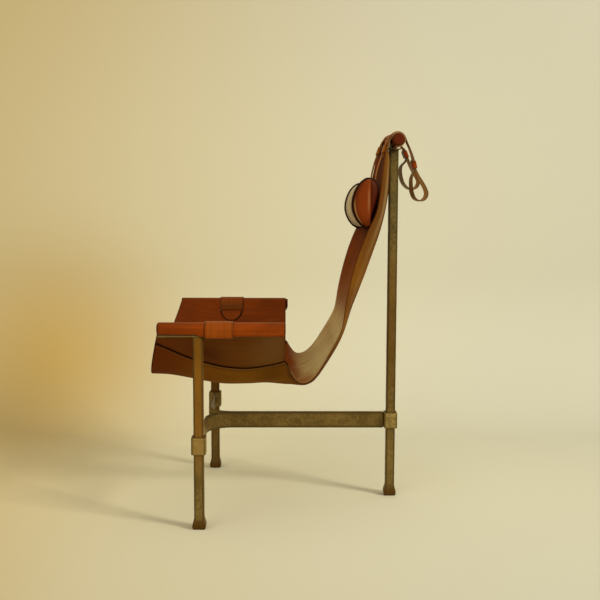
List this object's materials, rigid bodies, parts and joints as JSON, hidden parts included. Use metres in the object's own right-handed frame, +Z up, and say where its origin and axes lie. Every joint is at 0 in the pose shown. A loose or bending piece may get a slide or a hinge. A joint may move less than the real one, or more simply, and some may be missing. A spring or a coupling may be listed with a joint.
{
  "type": "sling lounge chair",
  "caption": "Leather sling lounge chair on a forged tripod frame, with arm rails of leather over dowels and an adjustable strapped headrest.",
  "frame": {"origin": "on the floor under the middle of the chair's box", "axes": "+Z up; the sitter faces -Y; the sitter's left hand is at +X"},
  "size_m": [0.685, 0.8356, 1.1372],
  "materials": {
    "iron": "hammered, dark brown wax with rust and wear",
    "collar_iron": "pitted, rubbed lighter than the bars",
    "wood": "dark red-brown, waxed",
    "steel": "dull screw steel",
    "leather": "oiled saddle leather, creased and worn darker",
    "dark_leather": "dark strap leather, waxed",
    "piping": "near-black piping",
    "canvas": "cream canvas, matt"
  },
  "bodies": {
    "frame": {"front_leg_left": "iron", "front_leg_right": "iron", "rear_post": "iron", "stretcher_bar_left": "iron", "stretcher_bar_right": "iron", "arm_plate_left": "iron", "arm_plate_right": "iron", "crossbar_plate": "iron", "leg_collar_left": "collar_iron", "leg_collar_right": "collar_iron", "post_collar": "collar_iron", "arm_dowel_left": "wood", "arm_dowel_right": "wood", "crossbar_dowel": "wood", "arm_screw_left_1": "steel", "arm_screw_left_2": "steel", "arm_screw_left_3": "steel", "arm_screw_right_1": "steel", "arm_screw_right_2": "steel", "arm_screw_right_3": "steel", "crossbar_screw_left": "steel", "crossbar_screw_right": "steel", "sling_seat_back": "leather", "sling_wing_left": "leather", "sling_wing_right": "leather", "arm_band_left": "leather", "arm_band_right": "leather", "strap_saddle_left": "dark_leather", "strap_saddle_right": "dark_leather"},
    "headrest": {"headrest_pad": "canvas", "headrest_back_panel": "dark_leather", "headrest_piping_left": "piping", "headrest_piping_right": "piping", "headrest_cap_left": "leather", "headrest_cap_right": "leather", "headrest_strap_left": "dark_leather", "headrest_strap_right": "dark_leather"},
    "strap_tail_left": {"strap_tail_left": "dark_leather"},
    "front_keeper_left": {"front_keeper_left": "dark_leather"},
    "rear_keeper_left": {"rear_keeper_left": "dark_leather"},
    "strap_tail_right": {"strap_tail_right": "dark_leather"},
    "front_keeper_right": {"front_keeper_right": "dark_leather"},
    "rear_keeper_right": {"rear_keeper_right": "dark_leather"}
  },
  "joints": [
    {"name": "headrest_swing", "type": "hinge", "parent": "frame", "child": "headrest", "pos_m": [0, 0.30539, 1.12462], "axis": [-1, 0, 0], "range_deg": [0, 110]},
    {"name": "tail_left_swing", "type": "hinge", "parent": "frame", "child": "strap_tail_left", "pos_m": [0.096, 0.34913, 1.12462], "axis": [1, 0, 0], "range_deg": [0, 100]},
    {"name": "tail_right_swing", "type": "hinge", "parent": "frame", "child": "strap_tail_right", "pos_m": [-0.096, 0.34913, 1.12462], "axis": [1, 0, 0], "range_deg": [0, 100]},
    {"name": "front_keeper_left_slide", "type": "slide", "parent": "headrest", "child": "front_keeper_left", "axis": [0, -0.3256, -0.9455], "range_m": [0, 0.017]},
    {"name": "rear_keeper_left_slide", "type": "slide", "parent": "strap_tail_left", "child": "rear_keeper_left", "axis": [0, 0.225, -0.9744], "range_m": [-0.003, 0.0035]},
    {"name": "front_keeper_right_slide", "type": "slide", "parent": "headrest", "child": "front_keeper_right", "axis": [0, -0.3256, -0.9455], "range_m": [0, 0.017]},
    {"name": "rear_keeper_right_slide", "type": "slide", "parent": "strap_tail_right", "child": "rear_keeper_right", "axis": [0, 0.3746, -0.9272], "range_m": [-0.003, 0.0035]}
  ]
}
